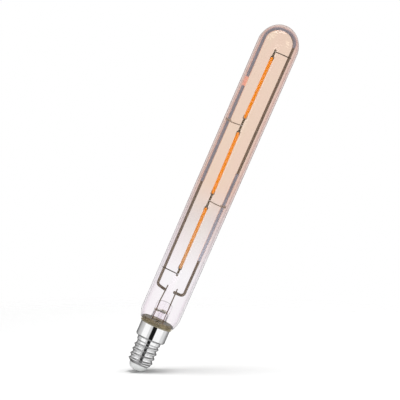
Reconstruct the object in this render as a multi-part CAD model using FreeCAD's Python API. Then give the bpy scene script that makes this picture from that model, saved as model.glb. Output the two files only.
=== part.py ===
import FreeCAD, Part
import math
import os

from FreeCAD import Vector

# A tubular filament lamp with a small screw cap, in millimetres. +Z runs up the lamp's axis, from the cap to
# the round top of the glass. The origin is the lowest point of the cap's centre contact. The frame wires and
# the filaments stand in planes that face -Y, the side that the lamp is seen from.

# Screw cap, pressed and rolled from thin sheet
sheet = 0.3
thread_major_radius = 6.9
thread_minor_radius = 6.1
thread_pitch = 2.822
thread_turns = 4
thread_lead_in = 0.65  # from the shell's lip up to the first crest
thread_run_out = 0.5  # from the last crest up to the foot of the collar
lip_radius = 5.3
collar_radius = 6.7
collar_height = 2.05
skirt_radius = 8.4
skirt_height = 8.3
skirt_round = 1.1

# Insulator and contact at the cap's foot
contact_rise = 0.45
contact_radius = 1.9
contact_shank_radius = 1.0
eyelet_radius = 0.55
insulator_drop = 3.4  # from the shell's lip down to the edge of the contact
insulator_nose_radius = 4.95
insulator_nose_round = 3.0
insulator_seat_height = 1.15  # how far the insulator reaches up inside the shell
insulator_gap = 0.05

# Cement between the cap and the glass
cement_depth = 3.2
cement_lip = 0.4
cement_rise = 1.0

# Glass tube
tube_radius = 11.7
glass_wall = 0.9
neck_drop = 2.3  # how much narrower the glass is at its foot
neck_slope = math.radians(25)
shoulder_radius = 10.0
dome_flat = 0.4  # at the very top of the dome

# Glass stem: a flare, a tube and a flat press, with the exhaust tube inside
flare_height = 2.7
stem_wall = 0.7
stem_radius = 4.5
stem_tube_length = 3.0
stem_taper_length = 2.3
press_half_thickness = 1.6
press_height = 5.3
press_arch = 0.7
press_floor = 0.6
slit_half_thickness = 0.6
slit_rise = 0.4
exhaust_radius = 1.3
exhaust_bore = 0.7
exhaust_funnel_radius = 1.9
exhaust_funnel_height = 1.8
exhaust_port_radius = 0.5
exhaust_port_rise = 1.2
exhaust_tip_gap = 1.5  # between the sealed tip and the driver board

# Wires through the press
lead_radius = 0.25
outer_lead_radius = 0.2
left_lead_x = -3.3
right_lead_x = 2.9
left_lead_lean = 0.65
lead_reach = 9.0
lead_bend = 3.0
dumet_length = 3.2
dumet_tail = 0.5  # how far it stands below the floor of the press
lead_overlap = 2.6  # of an outer lead along the driver board

# Frame wires and their sleeves
frame_wire_radius = 0.75
foot_rise = 6.4  # from the top of the press up to the wires' feet
foot_bend = 2.0
left_wire_gap = 1.9  # from the glass to the middle of the wire, under the dome
left_wire_lean = 0.45
left_foot_end_x = -2.75
left_foot_fall = 1.2
right_wire_gap = 2.5
right_wire_lean = 0.8
right_foot_end_x = 1.45
loop_flat = 0.4  # between the loop's two bends
sleeve_bore = 0.8
sleeve_radius = 1.05
sleeve_glass_gap = 0.4
splice_gap = 5.5
splice_rise = 16.6  # from the upper filament's foot up to the end of the left wire
left_sleeve_rise = 4.5  # from the middle filament's foot
right_sleeve_rise = 8.4  # from the lower filament's foot
right_sleeve_reach = 15.8  # above the middle filament's foot
top_sleeve_start = 1.1  # above the foot of the loop, on the right

# Filaments, their end pieces and the strips inside
filament_length = 37.5
filament_gap = 7.5
coat_radius = 0.83
end_clip_length = 2.2
end_clip_width = 1.9
end_clip_thickness = 1.5
end_clip_bevel = 0.35
end_clip_cover = 0.4
strip_width = 0.9
strip_thickness = 0.4
chip_row_width = 0.4
chip_row_height = 0.1
tab_width = 1.1
tab_thickness = 0.2
junction_tab_length = 6.0
end_tab_length = 4.2
chain_bottom_x = -0.4
lower_joint_x = -0.5
upper_joint_x = -0.9
chain_top_x = -0.35

# Thin wires between the filaments and the frame
link_radius = 0.25
link_offset = 2.9  # from a filament's end to the link that crosses its tab
link_stub = 0.6  # past the tab
link_overhang = 1.2  # past the frame wire
bottom_link_rise = 10.15  # above the wires' feet
bottom_link_climb = 0.5
top_margin = 4.8  # from the top link up to the foot of the loop
wrap_pitch = 1.0
wrap_bend = 1.2
wrap_gap = 0.1
wrap_tail = 0.2  # past the wrap

# Driver in the cap
board_thickness = 0.8
board_width = 10.0
board_height = 13.0
rectifier_size = (4.7, 2.5, 3.9)
rectifier_rise = 2.6
chip_size = (3.9, 1.5, 2.5)
chip_rise = 8.2
chip_foot_size = (0.5, 0.3, 0.5)
chip_foot_levels = (0.2, 0.8)  # up the chip's height
capacitor_radius = 1.9
capacitor_length = 6.0
capacitor_rise = 1.6
resistor_size = (3.2, 0.6, 1.6)
resistor_rise = 10.2
resistor_spacing = 4.0
driver_wire_radius = 0.2
driver_wire_bend = 0.8
driver_wire_overlap = 3.0
contact_wire_x = -3.9
contact_wire_rise = 1.2
shell_wire_x = 4.3
shell_wire_rise = 1.4
shell_wire_reach = 3.0

# How finely bends and rounded edges are drawn
wire_flats = 12
wire_chord = 45  # degrees of a bend to each straight piece
loop_chord = 30
skirt_chord = 45
inside_chord = 90
glass_chord = 30
thread_steps = 24  # in each turn
thread_rows = 4  # in each pitch: crest, flank, root and flank
fade_turns = 0.25  # over which the thread's top end sinks away
same_point = 0.0001  # corners that are nearer than this coincide

# Heights up the cap
lip_z = contact_rise + insulator_drop
thread_start_z = lip_z + thread_lead_in
thread_end_z = thread_start_z + thread_turns * thread_pitch
cone_top_z = lip_z + thread_minor_radius - lip_radius
collar_foot_z = thread_end_z + thread_run_out
collar_z = collar_foot_z + collar_radius - thread_minor_radius
ledge_z = collar_z + collar_height
rim_z = ledge_z + skirt_height
insulator_top_z = lip_z + insulator_seat_height
thread_depth = thread_major_radius - thread_minor_radius
board_top_z = insulator_top_z + board_height

# Heights up the glass foot and the stem
seal_radius = tube_radius - neck_drop
seal_z = rim_z + cement_rise
flare_bore = seal_radius - stem_wall
flare_top_z = seal_z + flare_height
flare_floor_z = flare_top_z - stem_wall
taper_z = flare_top_z + stem_tube_length
press_z = taper_z + stem_taper_length
press_top_z = press_z + press_height
stem_bore = stem_radius - stem_wall
slit_top_z = press_z - press_floor
exhaust_funnel_z = slit_top_z - exhaust_funnel_height
lead_joint_z = slit_top_z + dumet_length - dumet_tail
lead_top_z = press_top_z + lead_reach

# The frame's sides, and the loop that joins them under the dome
tube_bore = tube_radius - glass_wall
left_top_x = left_wire_gap - tube_bore
left_foot_x = left_top_x + left_wire_lean
right_top_x = tube_bore - right_wire_gap
right_foot_x = right_top_x - right_wire_lean
loop_bend = (right_top_x - left_top_x - loop_flat) / 2

# Heights up the frame
foot_z = press_top_z + foot_rise
bottom_link_z = foot_z + bottom_link_rise
lower_z = bottom_link_z + link_offset
middle_z = lower_z + filament_length + filament_gap
upper_z = middle_z + filament_length + filament_gap
chain_top_z = upper_z + filament_length
lower_support_z = middle_z - filament_gap / 2
upper_support_z = upper_z - filament_gap / 2
top_link_z = chain_top_z + link_offset
loop_foot_z = top_link_z + top_margin
apex_z = loop_foot_z + loop_bend
splice_z = upper_z + splice_rise

# Depths, from the leads in the plane of the axis back to the frame wires
link_y = 0.0
filament_y = link_y + link_radius + tab_thickness
frame_y = link_y + link_radius + frame_wire_radius
board_y = outer_lead_radius

# The dome clears the top sleeve
glass_top_z = apex_z + sleeve_radius + sleeve_glass_gap + glass_wall

across = Vector(1, 0, 0)
up = Vector(0, 0, 1)
back = Vector(0, 1, 0)
origin = Vector(0, 0, 0)


def eased(points, radii, chord_angle):
    """The points, with each inner one that has a radius spread over chords of a tangent arc."""
    path = [points[0]]
    for before, corner, after, radius in zip(points, points[1:], points[2:], radii):
        if radius <= 0:
            path.append(corner)
            continue
        behind = (before - corner).normalize()
        ahead = (after - corner).normalize()
        half = behind.getAngle(ahead) / 2
        inward = (behind + ahead).normalize()
        centre = corner + inward * (radius / math.sin(half))
        spoke = corner + behind * (radius / math.tan(half)) - centre
        turn = 180 - 2 * math.degrees(half)
        steps = math.ceil(turn / chord_angle)
        for step in range(steps + 1):
            swing = FreeCAD.Rotation(ahead.cross(behind), turn * step / steps)
            path.append(centre + swing.multVec(spoke))
    path.append(points[-1])
    return path


def turned(corners, chord_angle=inside_chord):
    """A solid turned about the axis from corners given as (radius, height, rounding)."""
    points = [Vector(radius, 0, height) for radius, height, rounding in corners]
    radii = [rounding for radius, height, rounding in corners]
    outline = eased(points + points[:1], radii[1:], chord_angle)
    return Part.Face(Part.makePolygon(outline)).revolve(origin, up, 360)


def skinned(rows):
    """A solid through rows of points that each go once round, with flat ends and triangles between rows."""
    outlines = [rows[0][1:], rows[-1][1:]]
    for row, after in zip(rows, rows[1:]):
        for side in range(1, len(row)):
            outlines.append([row[side - 1], row[side], after[side]])
            outlines.append([row[side - 1], after[side], after[side - 1]])
    faces = []
    for outline in outlines:
        behind = outline[-1:] + outline[:-1]
        if min(corner.distanceToPoint(other) for corner, other in zip(outline, behind)) > same_point:
            faces.append(Part.Face(Part.makePolygon(outline + outline[:1])))
    return Part.makeSolid(Part.makeShell(faces))


def flat_ring(centre, over, deep, radius):
    """Corners of a circle drawn in flats, in the plane of two directions."""
    corner_radius = radius / math.cos(math.pi / wire_flats)
    corners = []
    for flat in range(wire_flats + 1):
        angle = 2 * math.pi * (flat + 0.5) / wire_flats
        spoke = over * math.cos(angle) + deep * math.sin(angle)
        corners.append(centre + spoke * corner_radius)
    return corners


def wire_along(points, radii, radius, chord_angle=wire_chord):
    """A wire whose centre line runs along the points, with a section drawn in flats."""
    path = eased(points, radii, chord_angle)
    run = (path[1] - path[0]).normalize()
    over = run.cross(back).normalize()
    ring = flat_ring(path[0], over, over.cross(run), radius)
    mitred = 1
    return Part.makePolygon(path).makePipeShell([Part.makePolygon(ring)], True, False, mitred)


def thin_turned(stations):
    """A thin upright form through rings drawn in flats, given as (radius, height)."""
    return skinned([flat_ring(up * height, across, back, radius) for radius, height in stations])


def block(size, centre_x, front_y, bottom_z):
    """A box of (width, depth, height), placed by the middle of its front lower edge."""
    corner = Vector(centre_x - size[0] / 2, front_y, bottom_z)
    return Part.makeBox(size[0], size[1], size[2], corner)


def left_wire_x(z):
    """Where the left side of the frame stands at a height."""
    return left_foot_x + (left_top_x - left_foot_x) * (z - foot_z) / (apex_z - foot_z)


def right_wire_x(z):
    """Where the right side of the frame stands at a height."""
    return right_foot_x + (right_top_x - right_foot_x) * (z - foot_z) / (apex_z - foot_z)


# Of an inset corner between a wall and a 45 degree cone
corner_shift = math.tan(math.pi / 8)


def round_the_cap(radius, height, step):
    """A point so many of the thread's steps round from the back."""
    swing = FreeCAD.Rotation(up, 90 + 360 * (step % thread_steps) / thread_steps)
    return swing.multVec(Vector(radius, 0, height))


def level_row(radius, height):
    """A level ring of the cap."""
    return [round_the_cap(radius, height, step) for step in range(thread_steps + 1)]


def thread_row(row):
    """One turn of a line that climbs with the thread, kept between the lip's cone and the collar."""
    points = []
    for step in range(thread_steps + 1):
        height = thread_start_z + (row / thread_rows + step / thread_steps) * thread_pitch
        turn = round(row / thread_rows) + step / thread_steps
        rise = 0
        if cone_top_z < height < collar_foot_z and 0 <= turn <= thread_turns:
            swell = 0.5 + 0.5 * math.cos(2 * math.pi * row / thread_rows)
            rise = thread_depth * swell * min(1, (thread_turns - turn) / fade_turns)
        height = min(max(height, cone_top_z), collar_foot_z)
        radius = min(thread_minor_radius + rise, lip_radius + height - lip_z)
        points.append(round_the_cap(radius, height, step))
    return points


def threaded_core():
    """The shell's outside from its lip up to the skirt, with a right-hand thread that starts at the back."""
    top_row = math.ceil((collar_foot_z - thread_start_z) / thread_pitch * thread_rows)
    rows = [level_row(lip_radius, lip_z)]
    rows += [thread_row(row) for row in range(-thread_rows, top_row + 1)]
    rows += [level_row(collar_radius, collar_z), level_row(collar_radius, ledge_z + sheet)]
    return skinned(rows)


def cap_hollow():
    """The inside of the shell: the outside's turned form, inset by the sheet."""
    shift = sheet * corner_shift
    core = thread_minor_radius - sheet
    collar = collar_radius - sheet
    skirt = skirt_radius - sheet
    return turned(
        [
            (0, lip_z - sheet, 0),
            (lip_radius - 2 * sheet - shift, lip_z - sheet, 0),
            (core, cone_top_z + shift, 0),
            (core, collar_foot_z + shift, 0),
            (collar, collar_z + shift, 0),
            (collar, ledge_z + sheet, 0),
            (skirt, ledge_z + sheet, skirt_round - sheet),
            (skirt, rim_z + sheet, 0),
            (0, rim_z + sheet, 0),
        ]
    )


def cap_shell():
    """Thin screw shell with its rolled thread, collar and skirt, open at both ends."""
    skirt = turned(
        [
            (0, ledge_z, 0),
            (skirt_radius, ledge_z, skirt_round),
            (skirt_radius, rim_z, 0),
            (0, rim_z, 0),
        ],
        skirt_chord,
    )
    return skirt.fuse(threaded_core()).cut(cap_hollow()).removeSplitter()


def cap_insulator():
    """Moulded insulator: a blunt nose below the shell's lip and a plug inside it."""
    inset = sheet + insulator_gap
    plug = lip_radius - inset - inset * corner_shift
    return turned(
        [
            (contact_shank_radius, contact_rise, 0),
            (insulator_nose_radius, contact_rise, insulator_nose_round),
            (lip_radius, lip_z, 0),
            (plug, lip_z, 0),
            (plug, insulator_top_z, 0),
            (contact_shank_radius, insulator_top_z, 0),
        ],
        skirt_chord,
    )


def centre_contact():
    """Flat contact with a hollow shank through the insulator."""
    return turned(
        [
            (eyelet_radius, 0, 0),
            (contact_radius, 0, 0),
            (contact_radius, contact_rise, 0),
            (contact_shank_radius, contact_rise, 0),
            (contact_shank_radius, insulator_top_z, 0),
            (eyelet_radius, insulator_top_z, 0),
        ]
    )


def contact_solder():
    """Solder that closes the contact's eyelet, round the end of the contact wire."""
    return Part.makeCylinder(eyelet_radius, contact_rise)


def basing_cement():
    """Ring of cement that fills the skirt's mouth and the underside of the glass flare."""
    inner_skirt = skirt_radius - sheet
    return turned(
        [
            (stem_bore, rim_z - cement_depth, 0),
            (inner_skirt, rim_z - cement_depth, 0),
            (inner_skirt, rim_z, 0),
            (skirt_radius + cement_lip, rim_z, 0),
            (seal_radius, seal_z, 0),
            (flare_bore, seal_z, 0),
            (flare_bore, flare_floor_z, 0),
            (stem_bore, flare_floor_z, 0),
        ]
    )


def glass_envelope():
    """Glass tube with a round top and a drawn-in foot, melted to the flare of the stem."""
    shoulder_z = seal_z + neck_drop / math.tan(neck_slope)
    inner_shoulder_z = shoulder_z + glass_wall * math.tan(neck_slope / 2)
    inner_seal_z = seal_z + glass_wall / math.sin(neck_slope)
    inner_top_z = glass_top_z - glass_wall
    return turned(
        [
            (seal_radius, seal_z, 0),
            (tube_radius, shoulder_z, shoulder_radius),
            (tube_radius, glass_top_z, tube_radius - dome_flat),
            (0, glass_top_z, 0),
            (0, inner_top_z, 0),
            (tube_bore, inner_top_z, tube_bore - dome_flat),
            (tube_bore, inner_shoulder_z, shoulder_radius - glass_wall),
            (seal_radius, inner_seal_z, 0),
        ],
        glass_chord,
    )


def squeezed(radius, half_thickness, flat_z, top_z):
    """A round bar whose front and back lean in above the stem tube to a flat."""
    outline = Part.makePolygon(
        [
            Vector(-radius, -radius, taper_z),
            Vector(-radius, -half_thickness, flat_z),
            Vector(-radius, -half_thickness, top_z),
            Vector(-radius, half_thickness, top_z),
            Vector(-radius, half_thickness, flat_z),
            Vector(-radius, radius, taper_z),
            Vector(-radius, -radius, taper_z),
        ]
    )
    wedge = Part.Face(outline).extrude(Vector(2 * radius, 0, 0))
    bar = Part.makeCylinder(radius, top_z - taper_z, Vector(0, 0, taper_z))
    return wedge.common(bar)


def stem_glass():
    """Flare, stem tube and press in one piece of glass, with the leads sealed through it."""
    flare = turned(
        [
            (flare_bore, seal_z, 0),
            (seal_radius, seal_z, 0),
            (seal_radius, flare_top_z, 0),
            (stem_radius, flare_top_z, 0),
            (stem_radius, taper_z, 0),
            (stem_bore, taper_z, 0),
            (stem_bore, flare_floor_z, 0),
            (flare_bore, flare_floor_z, 0),
        ]
    )
    arch_radius = (stem_radius**2 + press_arch**2) / (2 * press_arch)
    arch_centre = Vector(0, -stem_radius, press_top_z - arch_radius)
    arch = Part.makeCylinder(arch_radius, 2 * stem_radius, arch_centre, back)
    press = squeezed(stem_radius, press_half_thickness, press_z, press_top_z).common(arch)
    hollow = squeezed(stem_bore, slit_half_thickness, slit_top_z - slit_rise, slit_top_z)
    stem = flare.fuse(press.cut(hollow)).removeSplitter()
    port_z = slit_top_z + exhaust_port_rise
    duct = thin_turned([(exhaust_bore, exhaust_funnel_z), (exhaust_bore, port_z)])
    port = Part.makeCylinder(exhaust_port_radius, stem_radius, Vector(0, 0, port_z), back)
    sealed = [exhaust_tube(), duct, port, left_inner_lead(), right_inner_lead()]
    sealed += [dumet_seal(left_lead_x), dumet_seal(right_lead_x)]
    for piece in sealed:
        stem = stem.cut(piece)
    return stem


def exhaust_tube():
    """Thin tube with a sealed lower tip, widened where it is melted into the press."""
    tip_z = board_top_z + exhaust_tip_gap
    wall = exhaust_radius - exhaust_bore
    outside = thin_turned(
        [
            (exhaust_bore, tip_z),
            (exhaust_radius, tip_z + wall),
            (exhaust_radius, exhaust_funnel_z),
            (exhaust_funnel_radius, slit_top_z),
        ]
    )
    return outside.cut(thin_turned([(exhaust_bore, tip_z + 2 * wall), (exhaust_bore, slit_top_z)]))


def left_inner_lead():
    """Wire that stands out of the press and leans in to the left frame wire's foot."""
    points = [
        Vector(left_lead_x, link_y, lead_joint_z),
        Vector(left_lead_x, link_y, press_top_z),
        Vector(left_lead_x + left_lead_lean, link_y, lead_top_z),
    ]
    return wire_along(points, [lead_bend], lead_radius)


def right_inner_lead():
    """Wire that stands straight out of the press to the right frame wire's foot."""
    start = Vector(right_lead_x, link_y, lead_joint_z)
    end = Vector(right_lead_x, link_y, lead_top_z)
    return wire_along([start, end], [], lead_radius)


def dumet_seal(x):
    """Copper-clad piece of the lead, sealed in the glass."""
    start = Vector(x, link_y, slit_top_z - dumet_tail)
    end = Vector(x, link_y, lead_joint_z)
    return wire_along([start, end], [], lead_radius)


def outer_lead(x):
    """Lead from the seal down to the front of the driver board, along which it is soldered."""
    start = Vector(x, link_y, board_top_z - lead_overlap)
    end = Vector(x, link_y, slit_top_z - dumet_tail)
    return wire_along([start, end], [], outer_lead_radius)


def left_frame_wire():
    """Thick wire from the left lead's weld up the left side to the splice."""
    points = [
        Vector(left_foot_end_x, frame_y, foot_z - left_foot_fall / 2),
        Vector(left_foot_x, frame_y, foot_z + left_foot_fall / 2),
        Vector(left_wire_x(splice_z), frame_y, splice_z),
    ]
    return wire_along(points, [foot_bend], frame_wire_radius)


def loop_points(start_points, end_z):
    """Points up the right side, round under the dome and down the left side to a height."""
    return start_points + [
        Vector(right_top_x, frame_y, apex_z),
        Vector(left_top_x, frame_y, apex_z),
        Vector(left_wire_x(end_z), frame_y, end_z),
    ]


def right_frame_wire():
    """Thick wire from the right lead's weld up the right side and over to the splice."""
    foot_points = [
        Vector(right_foot_end_x, frame_y, foot_z),
        Vector(right_foot_x, frame_y, foot_z),
    ]
    points = loop_points(foot_points, splice_z + splice_gap)
    return wire_along(points, [foot_bend, loop_bend, loop_bend], frame_wire_radius, loop_chord)


def sleeve_along(points, radii):
    """A thin-walled sleeve whose bore runs along the points."""
    outside = wire_along(points, radii, sleeve_radius, loop_chord)
    return outside.cut(wire_along(points, radii, sleeve_bore, loop_chord))


def top_insulating_sleeve():
    """Sleeve round the loop and down the left side, over the gap between the two wires."""
    start = Vector(right_wire_x(top_link_z), frame_y, top_link_z)
    points = loop_points([start], middle_z + left_sleeve_rise)
    bare_size = (2 * loop_bend, 4 * sleeve_radius, top_margin + top_sleeve_start + sleeve_radius)
    bare = block(bare_size, right_top_x, frame_y - 2 * sleeve_radius, top_link_z - sleeve_radius)
    return sleeve_along(points, [loop_bend, loop_bend]).cut(bare)


def right_insulating_sleeve():
    """Straight sleeve on the right wire, where the lower support is twisted round it."""
    low_z = lower_z + right_sleeve_rise
    high_z = middle_z + right_sleeve_reach
    start = Vector(right_wire_x(low_z), frame_y, low_z)
    end = Vector(right_wire_x(high_z), frame_y, high_z)
    return sleeve_along([start, end], [])


def led_strip():
    """Strip with its row of light-emitting chips along the front, standing on the filament's foot."""
    length = filament_length - 2 * end_clip_cover
    strip = block((strip_width, strip_thickness, length), 0, -strip_thickness / 2, end_clip_cover)
    row_length = filament_length - 2 * end_clip_length
    row_front_y = -strip_thickness / 2 - chip_row_height
    row = block((chip_row_width, chip_row_height, row_length), 0, row_front_y, end_clip_length)
    return strip.fuse(row)


def phosphor_coat():
    """Round coat over the strip, between the two end pieces."""
    length = filament_length - 2 * end_clip_length
    coat = Part.makeCylinder(coat_radius, length, Vector(0, 0, end_clip_length))
    return coat.cut(led_strip())


def end_tab(tab_length, tab_front_y):
    """Metal piece at a filament's foot: a clip over the strip and a flat tab below it."""
    size = (end_clip_width, end_clip_thickness, end_clip_length)
    clip = block(size, 0, -end_clip_thickness / 2, 0)
    uprights = [edge for edge in clip.Edges if edge.BoundBox.ZLength > end_clip_length / 2]
    clip = clip.makeChamfer(end_clip_bevel, uprights).cut(led_strip())
    tab = block((tab_width, tab_thickness, tab_length), 0, tab_front_y, -tab_length)
    return clip.fuse(tab).removeSplitter()


def in_chain(shape, foot_z, foot_x, head_x):
    """Puts a piece of a filament, made standing at the origin, in its place in the chain."""
    lean = math.degrees(math.asin((head_x - foot_x) / filament_length))
    placed = shape.copy()
    placed.rotate(origin, back, lean)
    placed.translate(Vector(foot_x, filament_y, foot_z))
    return placed


def turned_over(shape):
    """Turns a filament's foot piece into its head piece."""
    placed = shape.copy()
    placed.rotate(Vector(0, 0, filament_length / 2), back, 180)
    return placed


def filament(name, foot_z, foot_x, head_x, bottom_tab, top_tab):
    """The four pieces of one filament, by node name."""
    pieces = {
        name + "_led_strip": led_strip(),
        name + "_phosphor_coat": phosphor_coat(),
        name + "_bottom_tab": end_tab(*bottom_tab),
        name + "_top_tab": turned_over(end_tab(*top_tab)),
    }
    return {node: in_chain(piece, foot_z, foot_x, head_x) for node, piece in pieces.items()}


def filaments():
    """The chain of three. At a junction the tab from above lies in front of the tab from below."""
    front_end = (end_tab_length, -tab_thickness)
    front_junction = (junction_tab_length, -tab_thickness)
    back_junction = (junction_tab_length, 0)
    chain = filament("lower", lower_z, chain_bottom_x, lower_joint_x, front_end, back_junction)
    chain.update(
        filament("middle", middle_z, lower_joint_x, upper_joint_x, front_junction, back_junction)
    )
    chain.update(filament("upper", upper_z, upper_joint_x, chain_top_x, front_junction, front_end))
    return chain


def top_link_wire():
    """Link from the upper filament's top tab to the right frame wire."""
    start = Vector(chain_top_x - link_stub, link_y, top_link_z)
    end = Vector(right_wire_x(top_link_z) + link_overhang, link_y, top_link_z)
    return wire_along([start, end], [], link_radius)


def bottom_link_wire():
    """Link from the lower filament's bottom tab to the left frame wire."""
    end_z = bottom_link_z + bottom_link_climb
    start = Vector(chain_bottom_x + link_stub, link_y, bottom_link_z)
    end = Vector(left_wire_x(end_z) - link_overhang, link_y, end_z)
    return wire_along([start, end], [], link_radius)


def support_wire(tab_x, sleeve_x, z, side):
    """Support from a junction's tab out to a sleeve and once round it. Side is -1 for left, 1 for right."""
    reach = sleeve_radius + link_radius + wrap_gap
    front_y = frame_y - reach
    back_y = frame_y + reach
    near_x = sleeve_x - side * reach
    far_x = sleeve_x + side * reach
    rise = wrap_pitch / 4
    low_z = z - wrap_pitch / 2
    points = [
        Vector(tab_x - side * link_stub, link_y, z),
        Vector(near_x - side * reach, front_y, low_z),
        Vector(far_x, front_y, low_z),
        Vector(far_x, back_y, low_z + rise),
        Vector(near_x, back_y, low_z + 2 * rise),
        Vector(near_x, front_y, low_z + 3 * rise),
        Vector(far_x + side * wrap_tail, front_y, low_z + 4 * rise),
    ]
    return wire_along(points, [0] + [wrap_bend] * 4, link_radius)


def driver_board():
    """Circuit board that stands on the insulator, inside the threaded part of the shell."""
    return block((board_width, board_thickness, board_height), 0, board_y, insulator_top_z)


def moulded_chip(size, rise):
    """A moulded part with four feet on the front of the board."""
    width, depth, height = size
    bottom_z = insulator_top_z + rise
    chip = block(size, 0, board_y - depth, bottom_z)
    foot_x = (width + chip_foot_size[0]) / 2
    for x in (-foot_x, foot_x):
        for level in chip_foot_levels:
            foot_height = bottom_z + level * height - chip_foot_size[2] / 2
            chip = chip.fuse(block(chip_foot_size, x, board_y - chip_foot_size[1], foot_height))
    return chip.removeSplitter()


def smoothing_capacitor():
    """Capacitor that lies along the back of the board."""
    back_y = board_y + board_thickness + capacitor_radius
    foot = Vector(0, back_y, insulator_top_z + capacitor_rise)
    return Part.makeCylinder(capacitor_radius, capacitor_length, foot)


def chip_resistors():
    """Two chip resistors on the back of the board."""
    back_y = board_y + board_thickness
    bottom_z = insulator_top_z + resistor_rise
    places = [-resistor_spacing / 2, resistor_spacing / 2]
    return Part.makeCompound([block(resistor_size, x, back_y, bottom_z) for x in places])


def contact_wire():
    """Wire from the front of the board down through the contact's shank to its solder."""
    turn_z = insulator_top_z + contact_wire_rise
    points = [
        Vector(contact_wire_x, link_y, turn_z + driver_wire_overlap),
        Vector(contact_wire_x, link_y, turn_z),
        Vector(0, link_y, turn_z),
        Vector(0, link_y, contact_rise),
    ]
    return wire_along(points, [driver_wire_bend] * 2, driver_wire_radius)


def shell_wire():
    """Wire from the front of the board over the collar to the inside of the skirt."""
    wall_x = skirt_radius - sheet - driver_wire_radius
    turn_z = ledge_z + shell_wire_rise
    points = [
        Vector(shell_wire_x, link_y, board_top_z - driver_wire_overlap),
        Vector(shell_wire_x, link_y, turn_z),
        Vector(wall_x, link_y, turn_z),
        Vector(wall_x, link_y, turn_z + shell_wire_reach),
    ]
    return wire_along(points, [driver_wire_bend] * 2, driver_wire_radius)


def all_pieces():
    """Every piece of the lamp in its place, by node name."""
    left_x = left_wire_x(upper_support_z)
    right_x = right_wire_x(lower_support_z)
    pieces = {
        "glass_envelope": glass_envelope(),
        "stem_glass": stem_glass(),
        "exhaust_tube": exhaust_tube(),
        "left_inner_lead": left_inner_lead(),
        "right_inner_lead": right_inner_lead(),
        "left_dumet_seal": dumet_seal(left_lead_x),
        "right_dumet_seal": dumet_seal(right_lead_x),
        "left_outer_lead": outer_lead(left_lead_x),
        "right_outer_lead": outer_lead(right_lead_x),
        "left_frame_wire": left_frame_wire(),
        "right_frame_wire": right_frame_wire(),
        "top_insulating_sleeve": top_insulating_sleeve(),
        "right_insulating_sleeve": right_insulating_sleeve(),
        "top_link_wire": top_link_wire(),
        "bottom_link_wire": bottom_link_wire(),
        "upper_support_wire": support_wire(upper_joint_x, left_x, upper_support_z, -1),
        "lower_support_wire": support_wire(lower_joint_x, right_x, lower_support_z, 1),
        "basing_cement": basing_cement(),
        "cap_shell": cap_shell(),
        "cap_insulator": cap_insulator(),
        "centre_contact": centre_contact(),
        "contact_solder": contact_solder(),
        "driver_board": driver_board(),
        "bridge_rectifier": moulded_chip(rectifier_size, rectifier_rise),
        "driver_chip": moulded_chip(chip_size, chip_rise),
        "smoothing_capacitor": smoothing_capacitor(),
        "chip_resistors": chip_resistors(),
        "contact_wire": contact_wire(),
        "shell_wire": shell_wire(),
    }
    pieces.update(filaments())
    return pieces


os.makedirs("parts", exist_ok=True)
for node, piece in all_pieces().items():
    piece.exportStep("parts/" + node + ".step")
    solids = len(piece.Solids)
    print(node, "solids", solids, "volume", round(piece.Volume, 3), "valid", piece.isValid())
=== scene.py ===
import math

import bmesh
import bpy
from mathutils import Matrix, Quaternion, Vector, noise


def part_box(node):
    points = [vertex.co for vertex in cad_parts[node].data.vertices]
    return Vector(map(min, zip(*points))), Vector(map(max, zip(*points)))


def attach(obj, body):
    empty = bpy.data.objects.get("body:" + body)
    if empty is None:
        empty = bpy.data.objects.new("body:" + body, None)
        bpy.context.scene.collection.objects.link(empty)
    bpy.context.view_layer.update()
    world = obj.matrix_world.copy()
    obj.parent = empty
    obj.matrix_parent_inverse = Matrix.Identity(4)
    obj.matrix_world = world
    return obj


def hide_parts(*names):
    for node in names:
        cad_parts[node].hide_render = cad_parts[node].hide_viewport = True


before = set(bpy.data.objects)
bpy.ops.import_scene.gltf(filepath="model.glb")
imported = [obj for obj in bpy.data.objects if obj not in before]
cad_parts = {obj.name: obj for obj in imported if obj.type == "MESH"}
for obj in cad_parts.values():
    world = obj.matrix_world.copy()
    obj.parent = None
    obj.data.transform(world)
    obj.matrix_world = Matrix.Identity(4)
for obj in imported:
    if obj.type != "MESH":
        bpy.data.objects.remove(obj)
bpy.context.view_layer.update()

bl_info = {
    "name": "Tubular filament lamp",
    "version": (1, 0, 0),
    "blender": (4, 5, 0),
    "location": "3D View > Sidebar > Lamp",
    "description": "Dresses a long tubular filament lamp with a small screw cap",
    "category": "Object",
}

# All lengths are in metres. +Z runs up the lamp's axis from the tip of the cap, and -Y is the front.
BODY = "root"
UP = Vector((0, 0, 1))
FRONT = Vector((0, -1, 0))
LEVELS = ("lower", "middle", "upper")


def low(node_name):
    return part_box(node_name)[0]


def high(node_name):
    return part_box(node_name)[1]


def centre(node_name):
    return (low(node_name) + high(node_name)) / 2


# Heights and widths that several pieces share
LIP_Z = low("cap_shell").z
LIP_RADIUS = 0.0053
RIM_Z = high("cap_shell").z
THREAD_PITCH = 0.002822
CONTACT_RISE = 0.00045
SEAL_Z = low("glass_envelope").z
SEAL_RADIUS = 0.0094
GLASS_TOP_Z = high("glass_envelope").z
FLARE_FLOOR_Z = high("basing_cement").z
CEMENT_TOP_Z = FLARE_FLOOR_Z + 0.00005
PRESS_TOP_Z = high("stem_glass").z
PLUG_TOP_Z = high("cap_insulator").z
LEFT_SPLICE_Z = high("left_frame_wire").z
SPLICE_GAP = 0.0055
# Turned forms stop this far from the axis
PINHOLE = 0.00001


# ---- sizes and colours that a user may change ----


def size(name, default, description):
    return bpy.props.FloatProperty(
        name=name, default=default, min=0, unit="LENGTH", precision=5, description=description
    )


def colour(name, default, description):
    return bpy.props.FloatVectorProperty(
        name=name, default=default, size=3, min=0, max=1, subtype="COLOR", description=description
    )


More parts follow.
